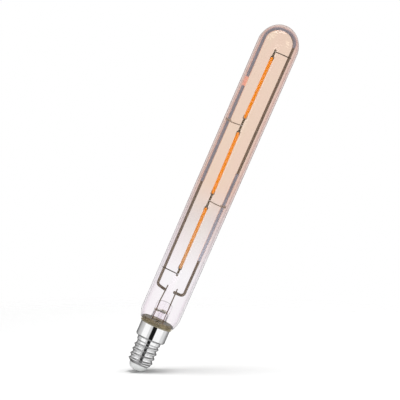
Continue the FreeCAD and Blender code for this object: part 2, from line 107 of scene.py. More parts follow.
class LampSizes(bpy.types.PropertyGroup):
    """Sizes of the lamp's pieces."""

    tube_radius: size("Tube radius", -low("glass_envelope").x, "Outside of the glass tube")
    glass_wall: size("Glass wall", 0.0009, "Thickness of the glass tube")
    stem_radius: size("Stem radius", 0.0045, "Outside of the stem tube")
    exhaust_radius: size("Exhaust tube radius", 0.0013, "Outside of the exhaust tube")
    sheet: size("Cap sheet", 0.0003, "Thickness of the cap's sheet")
    thread_radius: size("Thread radius", 0.0069, "Crests of the cap's thread")
    core_radius: size("Core radius", 0.0061, "Roots of the cap's thread")
    thread_pitch: size("Thread pitch", THREAD_PITCH, "Rise of the thread in one turn")
    collar_radius: size("Collar radius", 0.0067, "Plain band above the thread")
    skirt_radius: size("Skirt radius", high("cap_shell").x, "Wide part of the cap")
    frame_wire_radius: size("Frame wire radius", 0.00079, "The two thick wires")
    sleeve_radius: size("Sleeve radius", 0.00115, "Outside of the insulating sleeves")
    sleeve_bore: size("Sleeve bore", 0.00084, "Inside of the insulating sleeves")
    lead_radius: size("Lead radius", 0.00028, "Leads, links and supports")
    filament_radius: size("Filament radius", 0.00094, "Coat of a filament")


class LampColours(bpy.types.PropertyGroup):
    """Colours of the lamp's materials."""

    tint: colour("Glass tint", (0.925, 0.81, 0.73), "Light that passes a wall of the tinted part")
    half_tint: colour("Half tint", (0.895, 0.84, 0.823), "Light that passes where the tint begins")
    clear: colour("Clear glass", (0.978, 0.962, 0.978), "Light that passes a wall near the cap")
    # The filament colours also feed the coat's painted glow
    phosphor: colour("Filament", (1.0, 0.32, 0.005), "Coat of the filaments")
    pale_phosphor: colour("Pale filament", (0.62, 0.31, 0.12), "Coat near the foot")
    wire: colour("Frame wire", (0.38, 0.295, 0.225), "Thick wires and inner leads")
    lead: colour("Thin wire", (0.58, 0.48, 0.39), "Links, supports and solder")
    copper: colour("Copper-clad wire", (0.30, 0.12, 0.09), "Seals and outer leads")
    sleeve: colour("Sleeve", (0.76, 0.41, 0.19), "Light that passes a wall of the insulating sleeves")
    # The haze colour is also the sleeves' painted glow
    haze: colour("Sleeve haze", (0.32, 0.33, 0.38), "Light that the insulating sleeves scatter back")
    tab: colour("Filament ends", (0.34, 0.27, 0.18), "End pieces of the filaments")
    plate: colour("Cap plating", (0.96, 0.96, 0.965), "Cap and contact")
    insulator: colour("Insulator", (0.87, 0.885, 0.875), "Insulator at the tip of the cap")
    cement: colour("Cement", (0.27, 0.236, 0.162), "Cement between the cap and the glass")
    board: colour("Board", (0.05, 0.17, 0.08), "Circuit board in the cap")


# ---- meshes ----


def at(x, z):
    return Vector((x, 0, z))


def circle(count):
    """The angles of a full turn cut in equal steps."""
    return [2 * math.pi * index / count for index in range(count)]


def rounded(points, radii, step=math.radians(6)):
    """The points, with each inner corner that has a radius replaced by a fine arc."""
    path = [points[0]]
    for before, corner, after, radius in zip(points, points[1:], points[2:], radii):
        if radius <= 0:
            path.append(corner)
            continue
        behind = (before - corner).normalized()
        ahead = (after - corner).normalized()
        half = behind.angle(ahead) / 2
        hub = corner + (behind + ahead).normalized() * (radius / math.sin(half))
        spoke = corner + behind * (radius / math.tan(half)) - hub
        turn = math.pi - 2 * half
        steps = max(1, math.ceil(turn / step))
        axis = ahead.cross(behind)
        path += [hub + Quaternion(axis, turn * count / steps) @ spoke for count in range(steps + 1)]
    return path + [points[-1]]


def profile_of(points):
    return [(point.x, point.z) for point in points]


def outline(corners, step=math.radians(9)):
    """A closed (radius, height) profile from corners given as (radius, height, rounding)."""
    points = [at(radius, height) for radius, height, _ in corners]
    radii = [rounding for _, _, rounding in corners]
    return profile_of(rounded([points[-1]] + points + [points[0]], radii, step)[1:-1])


def subdivided(profile, count, shortest=0.0):
    """The profile with each run above a length cut in equal parts. Its last point is left out."""
    fine = []
    for (radius, height), (next_radius, next_height) in zip(profile, profile[1:]):
        far = math.hypot(next_radius - radius, next_height - height) > shortest
        for share in (part / count for part in range(count if far else 1)):
            reach = radius + (next_radius - radius) * share
            fine.append((reach, height + (next_height - height) * share))
    return fine


def mesh_object(name, build):
    """A new smooth object whose mesh is filled by a function."""
    mesh = bpy.data.meshes.new(name)
    builder = bmesh.new()
    build(builder)
    bmesh.ops.remove_doubles(builder, verts=builder.verts, dist=1e-7)
    bmesh.ops.recalc_face_normals(builder, faces=builder.faces)
    builder.to_mesh(mesh)
    builder.free()
    piece = bpy.data.objects.new(name, mesh)
    bpy.context.scene.collection.objects.link(piece)
    mesh.shade_smooth()
    mesh.set_sharp_from_angle(angle=math.radians(50))
    return piece


def skinned(name, rings, closed=True):
    """An object whose skin runs through rings of points and closes on itself, or else is capped."""

    def build(builder):
        made = [[builder.verts.new(point) for point in ring] for ring in rings]
        for ring, after in zip(made, made[1:] + (made[:1] if closed else [])):
            for index, vertex in enumerate(ring):
                beside = (index + 1) % len(ring)
                builder.faces.new((vertex, ring[beside], after[beside], after[index]))
        if not closed:
            builder.faces.new(made[0])
            builder.faces.new(made[-1])

    return mesh_object(name, build)


def turned(name, profile, segments=96, shape=lambda radius, height, angle: (radius, height)):
    """A closed form turned about the lamp's axis. A shape may move each point by its angle."""
    rings = []
    for point in profile:
        ring = []
        for angle in circle(segments):
            reach, rise = shape(*point, angle)
            ring.append((-reach * math.sin(angle), reach * math.cos(angle), rise))
        rings.append(ring)
    return skinned(name, rings)


def frames_along(path):
    """The direction and two steady side directions at each point of a path."""
    runs = [(after - before).normalized() for before, after in zip(path, path[1:])]
    between = [(one + other).normalized() for one, other in zip(runs, runs[1:])]
    side = runs[0].cross(FRONT)
    if side.length < 0.1:
        side = runs[0].cross(UP)
    frames = []
    for direction in (runs[0], *between, runs[-1]):
        side = (side - direction * side.dot(direction)).normalized()
        frames.append((direction, side, direction.cross(side)))
    return frames


def rings_along(path, frames, radius, sides):
    """A ring of points round each point of a path."""
    return [
        [spot + (side * math.cos(turn) + over * math.sin(turn)) * radius for turn in circle(sides)]
        for spot, (_, side, over) in zip(path, frames)
    ]


def wire(name, path, radius, end_round=0.7, sides=20):
    """A round wire along a path through its middle, with softly rounded ends."""
    frames = frames_along(path)
    soft = end_round * radius
    end_steps = 5

    def rounding(end, outward):
        rings = []
        for step in range(end_steps):
            angle = math.pi / 2 * step / (end_steps - 1)
            spot = path[end] + frames[end][0] * outward * soft * (math.sin(angle) - 1)
            rings += rings_along([spot], [frames[end]], radius - soft * (1 - math.cos(angle)), sides)
        return rings

    middle = rings_along(path[1:-1], frames[1:-1], radius, sides)
    return skinned(name, rounding(0, -1)[::-1] + middle + rounding(-1, 1), closed=False)


def sleeve(name, path, sizes):
    """A thin-walled tube along a path."""
    sides = 24
    frames = frames_along(path)
    outside = rings_along(path, frames, sizes.sleeve_radius, sides)
    return skinned(name, outside + rings_along(path, frames, sizes.sleeve_bore, sides)[::-1])


def straight(foot, head, lift=0.0):
    """A path between two points, whose middle may be lifted a little."""
    return [foot, foot.lerp(head, 0.5) + UP * lift, head]


def set_in_place(piece, slot, material, *nodes):
    """Puts a piece on the lamp, in place of its CAD nodes."""
    piece.data.materials.append(material)
    if nodes:
        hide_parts(*nodes)
    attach(piece, BODY)


def dress_node(node_name, material):
    """Gives a CAD node that stays its material."""
    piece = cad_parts[node_name]
    piece.data.materials.clear()
    piece.data.materials.append(material)


# ---- nodes ----

WHITE = (1, 1, 1)
BLACK = (0, 0, 0)


def feed(value, socket):
    """Links a socket to another one, or sets its value."""
    if isinstance(value, bpy.types.NodeSocket):
        socket.id_data.links.new(value, socket)
    else:
        socket.default_value = value


def node(tree, kind, inputs=None, **settings):
    """A shader node with its attributes set and its inputs fed by name or number."""
    made = tree.nodes.new("ShaderNode" + kind)
    for name, value in settings.items():
        setattr(made, name, value)
    for name, value in (inputs or {}).items():
        feed(value, made.inputs[name])
    return made


def arithmetic(operation, first, *others, clamp=False):
    """Values joined one after another by an operation. Each is a number or a socket."""
    for other in others:
        made = node(first.id_data, "Math", {0: first, 1: other}, operation=operation, use_clamp=clamp)
        first = made.outputs[0]
    return first


def mixed(share, first, second, blend_type="MIX"):
    """Two colours mixed by a share, which is a number or a socket."""
    made = node(first.id_data, "Mix", {0: share}, data_type="RGBA", blend_type=blend_type)
    one, other, result = [end for end in (*made.inputs, *made.outputs) if end.type == "RGBA"]
    feed(first, one)
    feed(second, other)
    return result


def multiplied(first, *others):
    """The product of colours."""
    for other in others:
        first = mixed(1.0, first, other, "MULTIPLY")
    return first


def toned(share, stops):
    """A colour ramp fed by a share. Stops are (position, colour)."""
    made = node(share.id_data, "ValToRGB", {"Fac": share})
    points = made.color_ramp.elements
    while len(points) < len(stops):
        points.new(0.5)
    for point, (position, shade) in zip(points, stops):
        point.position = position
        point.color = (*shade, 1)
    return made.outputs["Color"]


def shaded(shade, base, dark, bright):
    """A colour that varies round its base by a shade from 0 to 1."""
    low_end = [channel * dark for channel in base]
    high_end = [min(1, channel * bright) for channel in base]
    return toned(shade, [(0, low_end), (1, high_end)])


def facing_away(tree):
    """How far a surface turns away from the eye."""
    return node(tree, "LayerWeight").outputs["Facing"]


def bump(height, strength, distance):
    inputs = {"Height": height, "Strength": strength, "Distance": distance}
    return node(height.id_data, "Bump", inputs).outputs["Normal"]


def transparent(tree, tone=(1, 1, 1, 1)):
    return node(tree, "BsdfTransparent", {"Color": tone})


def show(share, first, second, output="Material Output"):
    """Shows the first shader, and the second one as far as the share goes."""
    tree = first.id_data
    both = node(tree, "MixShader", {0: share, 1: first.outputs[0], 2: second.outputs[0]})
    feed(both.outputs[0], tree.nodes[output].inputs["Surface"])


# ---- effects that several materials share, each a node group ----


def effect(tree, build, **values):
    """Places a shared effect with its own values. Its group is built once, by a function."""
    group = bpy.data.node_groups.get(build.__name__)
    if not group:
        group = bpy.data.node_groups.new(build.__name__, "ShaderNodeTree")
        for name, value in values.items():
            made = group.interface.new_socket(name, in_out="INPUT", socket_type="NodeSocketFloat")
            made.default_value = value
        results = build(group, group.nodes.new("NodeGroupInput").outputs)
        for name in results:
            group.interface.new_socket(name, in_out="OUTPUT", socket_type="NodeSocketFloat")
        end = group.nodes.new("NodeGroupOutput")
        for name, value in results.items():
            feed(value, end.inputs[name])
    return node(tree, "Group", values, node_tree=group).outputs


def own_place(group):
    return node(group, "TexCoord").outputs["Object"]


def height_share(group, given):
    """How far a point lies from one height to another, from 0 to 1."""
    z = node(group, "SeparateXYZ", {0: own_place(group)}).outputs["Z"]
    above = arithmetic("SUBTRACT", z, given["Foot"])
    span = arithmetic("SUBTRACT", given["Head"], given["Foot"])
    return {"Share": arithmetic("DIVIDE", above, span, clamp=True)}


def swung(fine, broad, amount):
    """Two noises as one shade round the middle, and the finer one as a height."""
    swing = arithmetic("SUBTRACT", arithmetic("ADD", fine, broad), 1.0)
    shade = arithmetic("ADD", arithmetic("MULTIPLY", swing, amount), 0.5, clamp=True)
    return {"Shade": shade, "Height": fine}


def noise_at(place, scale, **inputs):
    inputs = {"Vector": place, "Scale": scale, **inputs}
    return node(place.id_data, "TexNoise", inputs).outputs["Fac"]


def speckle(group, given):
    """Grains and soft mottling, for cement, moulded and fired pieces."""
    place = own_place(group)
    fine = noise_at(place, given["Grain"], Detail=4)
    return swung(fine, noise_at(place, given["Mottle"], Detail=3), given["Amount"])


def drawn_wire(group, given):
    """Lengthwise drawing marks and patches of discolouring, for wires, tabs and glass."""
    place = own_place(group)
    stretched = node(group, "Mapping", {"Vector": place, "Scale": (1, 1, 0.04)}).outputs["Vector"]
    marks = noise_at(stretched, given["Marks"])
    return swung(marks, noise_at(place, given["Patches"]), given["Amount"])


def handling(group, given):
    """Smudges and faint scratches on polished metal."""
    place = own_place(group)
    smudge = noise_at(place, given["Smudges"], Detail=3, Distortion=0.6)
    contrast = arithmetic("SUBTRACT", smudge, 0.45)
    inputs = {"Vector": place, "Scale": given["Scratches"]}
    cells = node(group, "TexVoronoi", inputs, feature="DISTANCE_TO_EDGE")
    return {
        "Smudge": arithmetic("MULTIPLY", contrast, 3.0, clamp=True),
        "Scratch": arithmetic("LESS_THAN", cells.outputs["Distance"], 0.012),
    }


def share_up(tree, foot, head):
    """The share of the way up between two heights."""
    return effect(tree, height_share, Foot=foot, Head=head)["Share"]


# ---- materials ----

# Ends the names of the materials made here, so that they differ from those of the CAD nodes
FINISH = "_finish"


def wired(shader, **values):
    """Feeds a shader's sockets by name."""
    for name, value in values.items():
        feed(value, shader.inputs[name.replace("_", " ").title().replace("Ior", "IOR")])


def plain_material(name, **values):
    """A material with one Principled shader."""
    material = bpy.data.materials.new(name + FINISH)
    material.use_nodes = True
    tree = material.node_tree
    shader = tree.nodes["Principled BSDF"]
    wired(shader, **values)
    return material, tree, shader


def light_through(shader, share):
    """Bends only what is looked at. Light on its way to or from the pieces inside passes straight."""
    tree = shader.id_data
    ray = node(tree, "LightPath").outputs
    inside = arithmetic("GREATER_THAN", ray["Transmission Depth"], 1.5)
    mirrored = arithmetic("MULTIPLY", ray["Is Glossy Ray"], ray["Is Reflection Ray"], inside)
    straight_on = arithmetic("MAXIMUM", ray["Is Diffuse Ray"], mirrored, ray["Is Shadow Ray"])
    show(straight_on, shader, transparent(tree, (share, share, share, 1)))


TINT_FOOT_Z = 0.06
TINT_HEAD_Z = 0.112
PALE_FOOT_Z = 0.066
PALE_HEAD_Z = 0.1
HAZE_FOOT_Z = 0.075
# How a wall darkens as it turns away from the eye, as (share turned away, colour). This is painted edge
# shade for what the walls refract at their sides; on the tinted part it is also the longer path through
# the tint.
CLEAR_EDGE_SHADE = (
    (0.34, WHITE), (0.43, (0.985, 0.965, 0.98)), (0.55, (0.94, 0.905, 0.93)),
    (0.66, (0.88, 0.86, 0.875)), (1, (0.93, 0.85, 0.91)),
)
TINTED_EDGE_TINT_AND_SHADE = (
    (0.34, WHITE), (0.42, (0.95, 0.90, 0.945)), (0.53, (0.89, 0.82, 0.855)),
    (0.63, (0.84, 0.765, 0.785)), (1, (0.70, 0.50, 0.47)),
)
TINTED_STREAKS = ((0, (1, 0.978, 0.99)), (1, (0.985, 1, 0.985)))


def tinted_glass(colours):
    """Blown glass whose rose-gold tint fades out towards the cap and deepens at the tube's edges, with
    painted edge shade.
    """
    material, tree, shader = plain_material(
        "tinted_glass", transmission_weight=1.0, roughness=0.08, ior=1.18
    )
    share = share_up(tree, TINT_FOOT_Z, TINT_HEAD_Z)
    fresh = [(one + other) / 2 for one, other in zip(colours.clear, colours.half_tint)]
    stops = [(0, colours.clear), (0.33, fresh), (0.62, colours.half_tint), (1, colours.tint)]
    away = facing_away(tree)
    # Painted edge shade, which on the tinted part also stands for the deeper tint
    edge = mixed(share, toned(away, CLEAR_EDGE_SHADE), toned(away, TINTED_EDGE_TINT_AND_SHADE))
    streaks = effect(tree, drawn_wire, Marks=260.0, Patches=40.0, Amount=1.6)["Shade"]
    tone = multiplied(toned(share, stops), edge, toned(streaks, TINTED_STREAKS))
    wired(shader, base_color=tone)
    light_through(shader, 0.84)
    return material


FOLD_Z = FLARE_FLOOR_Z + 0.0057
FOLD_REACH = 0.0013
# The fold band and its spots make painted glints: the cement below, as seen through the folded glass,
# painted into it
FOLD_BAND = ((0, BLACK), (0.3, WHITE), (0.7, WHITE), (1, BLACK))
PAINTED_CEMENT_GLINTS = ((0.3, WHITE), (0.75, (0.32, 0.30, 0.22)))
FLOOR_STAIN = ((0, (0.945, 0.9, 0.785)), (1, WHITE))
# Painted edge shade of the clear stem above its floor, for what it refracts at its sides
STEM_EDGE_SHADE = ((0.5, WHITE), (0.75, (0.76, 0.73, 0.73)), (1, (0.46, 0.42, 0.40)))


def stem_glass(colours):
    """Clear pressed glass, stained at its floor, with painted olive glints in its fold for the cement
    seen through it, and painted shade at its edges.
    """
    material, tree, shader = plain_material(
        "stem_glass", transmission_weight=1.0, roughness=0.0, ior=1.1, base_color=(*colours.clear, 1)
    )
    marks = effect(tree, drawn_wire, Marks=900.0, Patches=350.0, Amount=0.5)
    tone = shaded(marks["Shade"], colours.clear, 0.97, 1.02)
    # Painted edge shade
    edge_shaded = multiplied(tone, toned(facing_away(tree), STEM_EDGE_SHADE))
    tone = mixed(share_up(tree, FLARE_FLOOR_Z + 0.0008, FLARE_FLOOR_Z + 0.0018), tone, edge_shaded)
    band = toned(share_up(tree, FOLD_Z - FOLD_REACH, FOLD_Z + FOLD_REACH), FOLD_BAND)
    spots = effect(tree, speckle, Grain=380.0, Mottle=380.0, Amount=6.0)["Shade"]
    # Painted olive glints of the cement seen through the fold
    olive = toned(arithmetic("MULTIPLY", band, spots), PAINTED_CEMENT_GLINTS)
    off_floor = share_up(tree, FLARE_FLOOR_Z + 0.0004, FLARE_FLOOR_Z + 0.0008)
    tone = multiplied(tone, toned(off_floor, FLOOR_STAIN), olive)
    wired(shader, base_color=tone, normal=bump(marks["Height"], 0.15, 0.0002))
    light_through(shader, 0.95)
    return material


def metal(colours, name, tone, roughness, dark=0.9, bright=1.1, metallic=1.0):
    """Drawn or stamped metal in one of the colours, with lengthwise marks and patches."""
    material, tree, shader = plain_material(name, metallic=metallic, roughness=roughness)
    wear = effect(tree, drawn_wire, Marks=6000.0, Patches=250.0, Amount=0.4)
    worn = arithmetic("MULTIPLY", wear["Shade"], 0.06)
    wired(
        shader,
        base_color=shaded(wear["Shade"], getattr(colours, tone), dark, bright),
        roughness=arithmetic("ADD", worn, roughness - 0.03),
        normal=bump(wear["Height"], 0.05, 0.00001),
    )
    return material


def polished_plate(colours):
    """Bright plating with faint smudges and scratches."""
    material, tree, shader = plain_material(
        "polished_plate", metallic=1.0, base_color=(*colours.plate, 1)
    )
    marks = effect(tree, handling, Smudges=220.0, Scratches=700.0)
    worn = arithmetic("MULTIPLY", marks["Smudge"], 0.04)
    lined = arithmetic("MULTIPLY", marks["Scratch"], 0.05)
    wired(
        shader,
        base_color=shaded(marks["Smudge"], colours.plate, 1.0, 0.95),
        roughness=arithmetic("ADD", worn, 0.055, lined),
    )
    return material


def grained(name, base, roughness, grain, mottle, amount, dark=0.75, bright=1.25, depth=0.2):
    """A moulded, fired or baked surface with grains and mottling."""
    material, tree, shader = plain_material(name, roughness=roughness)
    grains = effect(tree, speckle, Grain=grain, Mottle=mottle, Amount=amount)
    tone = shaded(grains["Shade"], base, dark, bright)
    wired(shader, base_color=tone, normal=bump(grains["Height"], depth, 0.0001))
    return material


def phosphor_coat(colours):
    """Orange silicone coat, paler near the lamp's foot, with a faint grain and a painted glow in its
    own colour.
    """
    # The emission is a painted glow in the coat's own colour, which brightens the filaments
    material, tree, shader = plain_material("phosphor_coat", roughness=0.55, emission_strength=0.495)
    stops = [(0, colours.pale_phosphor), (1, colours.phosphor)]
    tone = toned(share_up(tree, PALE_FOOT_Z, PALE_HEAD_Z), stops)
    grains = effect(tree, speckle, Grain=3500.0, Mottle=500.0, Amount=0.35)
    grey = toned(grains["Shade"], [(0, (0.86, 0.84, 0.8)), (1, WHITE)])
    coat_and_glow = multiplied(tone, grey)
    normal = bump(grains["Height"], 0.12, 0.00005)
    wired(shader, base_color=coat_and_glow, emission_color=coat_and_glow, normal=normal)
    return material


# Painted shade: the haze dims towards the top, where less light reaches the sleeves through the tint
PAINTED_HAZE_SHADE = ((0, WHITE), (1, (0.60, 0.62, 0.66)))
FILLED_SLEEVE = (0.25, 0.23, 0.25)


def wire_filling(tree):
    """Where a sleeve, as a lens, seems filled by its wire. Between the two wires it is empty."""
    filled = arithmetic("LESS_THAN", facing_away(tree), 0.46)
    soft = 0.0001
    gap_end_z = LEFT_SPLICE_Z + SPLICE_GAP
    past_left = share_up(tree, LEFT_SPLICE_Z, LEFT_SPLICE_Z + soft)
    in_gap = arithmetic("SUBTRACT", past_left, share_up(tree, gap_end_z - soft, gap_end_z))
    return arithmetic("SUBTRACT", filled, in_gap, clamp=True)


def sleeve_silicone(colours):
    """Thin tube that lets salmon light through and scatters the rest back as a cool haze, painted as a
    glow that dims towards the top.
    """
    material, tree, shader = plain_material(
        "sleeve_silicone", roughness=0.4, specular_ior_level=0.0, emission_strength=0.7
    )
    grains = effect(tree, speckle, Grain=1200.0, Mottle=200.0, Amount=0.4)["Shade"]
    # Painted shade on the haze towards the top
    level = toned(share_up(tree, HAZE_FOOT_Z, TINT_HEAD_Z), PAINTED_HAZE_SHADE)
    tone = multiplied(shaded(grains, colours.haze, 0.93, 1.07), level)
    # The haze feeds the emission too, as a painted glow
    wired(shader, base_color=tone, emission_color=tone)
    material.cycles.emission_sampling = "NONE"
    through = toned(wire_filling(tree), [(0, colours.sleeve), (1, FILLED_SLEEVE)])
    both = node(tree, "AddShader", {0: shader.outputs[0], 1: transparent(tree, through).outputs[0]})
    show(node(tree, "NewGeometry").outputs["Backfacing"], both, transparent(tree))
    return material


# ---- operators ----


def lamp_settings(context):
    return context.scene.lamp_sizes, context.scene.lamp_colours


class LAMP_OT_cap(bpy.types.Operator):
    """Build the screw shell with its thread, the insulator, the contact and its solder"""

    bl_idname = "lamp.cap"
    bl_label = "Cap"

    def execute(self, context):
        sizes, colours = lamp_settings(context)
        plate = polished_plate(colours)
        shell = turned("screw_shell", shell_profile(sizes), 144, thread_shape(sizes))
        set_in_place(shell, "cap_plate", plate, "cap_shell")

        shades = {"dark": 0.93, "bright": 1.06, "depth": 0.04}
        moulded = grained("insulator_moulding", colours.insulator, 0.32, 2600.0, 260.0, 0.5, **shades)
        plug = 0.0048
        shank = 0.001
        nose = turned("insulator", outline([
            (shank, CONTACT_RISE, 0), (plug, CONTACT_RISE, 0.003), (LIP_RADIUS, LIP_Z - 0.00002, 0),
            (plug, LIP_Z - 0.00001, 0), (plug, LIP_Z + 0.0008, 0), (plug, PLUG_TOP_Z, 0),
            (shank, PLUG_TOP_Z, 0),
        ]))
        set_in_place(nose, "insulator", moulded, "cap_insulator")

        face = 0.0019
        eyelet = 0.00055
        contact = turned("contact", outline([
            (eyelet, 0, 0.0001), (face, 0.0001, 0.0003), (face, CONTACT_RISE, 0),
            (shank, CONTACT_RISE, 0), (shank, PLUG_TOP_Z, 0), (eyelet, PLUG_TOP_Z, 0),
        ]), 64)
        set_in_place(contact, "contact", plate, "centre_contact")
        solder_radius = high("contact_solder").x
        solder = turned("solder", outline([
            (PINHOLE, 0.00002, 0), (solder_radius, 0.00008, 0.00005), (solder_radius, CONTACT_RISE, 0),
            (PINHOLE, CONTACT_RISE, 0),
        ]), 32)
        set_in_place(solder, "solder", metal(colours, "solder", "lead", 0.25), "contact_solder")
        return {"FINISHED"}


THREAD_TURNS = 4
THREAD_START_Z = LIP_Z + 0.00065
COLLAR_FOOT_Z = THREAD_START_Z + THREAD_TURNS * THREAD_PITCH + 0.0005
LEDGE_Z = RIM_Z - 0.0083


def shell_profile(sizes):
    """Both faces of the shell's sheet, from the lip up to the rim and back down inside."""
    core, collar, skirt = sizes.core_radius, sizes.collar_radius, sizes.skirt_radius
    cone_top_z = LIP_Z + core - LIP_RADIUS
    rise = COLLAR_FOOT_Z - cone_top_z
    rows = 180
    outer = [at(LIP_RADIUS, LIP_Z)] + [at(core, cone_top_z + rise * row / rows) for row in range(rows)]
    top = [
        at(core, COLLAR_FOOT_Z), at(collar, COLLAR_FOOT_Z + collar - core), at(collar, LEDGE_Z),
        at(skirt, LEDGE_Z), at(skirt, RIM_Z),
    ]
    outer += rounded(top, [0.0006, 0.0004, 0.0011], math.radians(10))
    inner = []
    for before, point, after in zip(outer[:1] + outer, outer, outer[1:] + outer[-1:]):
        run = (after - before).normalized()
        inner.append(point + at(-run.z, run.x) * sizes.sheet)
    return profile_of(outer + inner[::-1])


def thread_shape(sizes):
    """Moves points of the core out to a right-hand thread that starts and ends at the back."""
    depth = sizes.thread_radius - sizes.core_radius
    fade = 0.25

    def shape(radius, height, angle):
        if height > COLLAR_FOOT_Z or radius > sizes.core_radius + 0.00001:
            return radius, height
        swing = angle / (2 * math.pi)
        phase = (height - THREAD_START_Z) / sizes.thread_pitch - swing
        crest = round(phase)
        turn = crest + swing
        if turn < -0.001 or turn > THREAD_TURNS + 0.001:
            return radius, height
        strength = min(1, turn / fade + 0.2, (THREAD_TURNS - turn) / fade)
        wave = 0.5 + 0.5 * math.cos(2 * math.pi * (phase - crest))
        rise = depth * max(0, strength) * wave ** 1.4
        return max(radius, min(radius + rise, LIP_RADIUS + height - LIP_Z)), height

    return shape


class LAMP_OT_cement(bpy.types.Operator):
    """Build the uneven ring of cement between the cap and the glass"""

    bl_idname = "lamp.cement"
    bl_label = "Cement"

    def execute(self, context):
        sizes, colours = lamp_settings(context)
        shades = {"dark": 0.45, "bright": 1.9, "depth": 0.7}
        baked = grained("baked_cement", colours.cement, 0.8, 1700.0, 380.0, 1.5, **shades)
        bore = 0.0038
        pool_bore = 0.0016
        pool_z = CEMENT_TOP_Z - 0.0003
        floor_radius = 0.00867
        cap_bore = sizes.skirt_radius - sizes.sheet
        foot_z = low("basing_cement").z
        profile = outline([
            (bore, foot_z, 0), (cap_bore, foot_z, 0), (cap_bore, RIM_Z - 0.0001, 0),
            (sizes.skirt_radius + 0.0004, RIM_Z, 0.0003), (SEAL_RADIUS, SEAL_Z - 0.00005, 0.0003),
            (floor_radius, SEAL_Z, 0), (floor_radius, CEMENT_TOP_Z, 0.0003),
            (pool_bore, CEMENT_TOP_Z, 0), (pool_bore, pool_z, 0), (bore, pool_z, 0),
        ], math.radians(20))
        lump_depth = 0.00022

        def lumpy(radius, height, angle):
            if height < RIM_Z + 0.00002 or height > SEAL_Z - 0.0001:
                return radius, height
            spot = Vector((math.sin(angle) * 3, math.cos(angle) * 3, height * 900))
            return radius - lump_depth * (0.5 + 0.5 * noise.fractal(spot * 2.2, 1.0, 2.0, 3)), height

        ring = turned("cement_ring", subdivided(profile + profile[:1], 6), 160, lumpy)
        set_in_place(ring, "cement", baked, "basing_cement")
        return {"FINISHED"}


class LAMP_OT_glass(bpy.types.Operator):
    """Build the tinted glass tube with its round top and drawn-in foot"""

    bl_idname = "lamp.glass"
    bl_label = "Glass tube"

    def execute(self, context):
        sizes, colours = lamp_settings(context)
        radius = sizes.tube_radius
        bore = radius - sizes.glass_wall
        shoulder_z = SEAL_Z + (radius - SEAL_RADIUS) / math.tan(math.radians(25))
        foot_taper = 0.965
        dome_flat = 0.00005
        dome_height = radius * 1.14
        dome_z = GLASS_TOP_Z - radius
        inner_reach = radius - sizes.glass_wall / 2
        inner_top_z = GLASS_TOP_Z - sizes.glass_wall
        profile = outline([
            (SEAL_RADIUS, SEAL_Z, 0.0002), (radius * foot_taper, shoulder_z, 0.010),
            (radius, GLASS_TOP_Z, radius - dome_flat), (dome_flat / 2, GLASS_TOP_Z, 0),
            (dome_flat / 2, inner_top_z, 0), (bore, inner_top_z, bore - dome_flat),
            (bore * foot_taper, shoulder_z + 0.0002, 0.0091), (SEAL_RADIUS, SEAL_Z + 0.0021, 0.0002),
        ], math.radians(4))

        def drawn_in(reach, height, angle):
            """The dome is a little longer than round, on its outside only."""
            rise = (height - GLASS_TOP_Z + dome_height) / dome_height
            if rise < 0 or math.hypot(reach, height - dome_z) < inner_reach:
                return reach, height
            return min(reach, radius * math.sqrt(max(0, 1 - rise * rise))), height

        tube = turned("glass_tube", profile, 160, drawn_in)
        set_in_place(tube, "tinted_glass", tinted_glass(colours), "glass_envelope")
        return {"FINISHED"}


class LAMP_OT_stem(bpy.types.Operator):
    """Build the glass stem: flare, tube, flattened press and exhaust tube"""

    bl_idname = "lamp.stem"
    bl_label = "Glass stem"

    def execute(self, context):
        sizes, colours = lamp_settings(context)
        glass = stem_glass(colours)
        set_in_place(flare_and_press(sizes), "clear_glass", glass, "stem_glass")

        radius = sizes.exhaust_radius
        bore = radius - 0.0006
        tip_z = low("exhaust_tube").z
        top_z = high("exhaust_tube").z
        closed_z = tip_z + 0.0012
        tube = turned("exhaust_tube_glass", outline([
            (PINHOLE, tip_z, 0), (radius, tip_z, 0.0011), (radius, top_z - 0.0018, 0.002),
            (0.0019, top_z, 0), (bore, top_z, 0), (bore, closed_z, 0.0005), (PINHOLE, closed_z, 0),
        ]), 48)
        set_in_place(tube, "clear_glass", glass, "exhaust_tube")
        return {"FINISHED"}


def flare_and_press(sizes):
    """Flare and tube turned in one skin, squeezed flat from the taper up to the press's rounded top."""
    taper_z = FLARE_FLOOR_Z + 0.0037
    press_z = taper_z + 0.0023
    flare_top_z = FLARE_FLOOR_Z + 0.0003
    floor_foot_z = CEMENT_TOP_Z + 0.00003
    slit_top_z = press_z - 0.0006
    radius = sizes.stem_radius
    bore = radius - 0.0007
    flare_radius = 0.00937
    flare_bore = 0.00872
    long_run = 0.002
    step = math.radians(12)
    outer = profile_of(rounded([
        at(flare_radius, SEAL_Z), at(flare_radius, flare_top_z), at(radius, flare_top_z),
        at(radius, PRESS_TOP_Z), at(0, PRESS_TOP_Z),
    ], [0.0009, 0.0009, 0.0006], step))
    inner = profile_of(rounded([
        at(0, slit_top_z), at(bore, slit_top_z), at(bore, floor_foot_z), at(flare_bore, floor_foot_z),
        at(flare_bore, SEAL_Z),
    ], [0.0004, 0.0005, 0.0002], step))
    # Each as (profile, half of the press's thickness, fall of its top towards the sides)
    faces = (
        (subdivided(outer, 12, long_run), 0.0016, 0.0012),
        (subdivided(inner, 10, long_run) + inner[-1:], 0.0006, 0),
    )

    rings = []
    for profile, thin, arch in faces:
        for reach, height in profile:
            share = min(1, max(0, (height - taper_z) / (press_z - taper_z)))
            squeezed = share * share * (3 - 2 * share)
            climb = max(0, (height - press_z) / (PRESS_TOP_Z - press_z))
            limit = min(thin, reach)
            ring = []
            for angle in circle(96):
                x, y = -reach * math.sin(angle), reach * math.cos(angle)
                flat_y = max(-limit, min(limit, y))
                fall = arch * (x / radius) ** 2 * squeezed * climb
                ring.append((x, y + (flat_y - y) * squeezed, height - fall))
            rings.append(ring)
    return skinned("stem", rings)


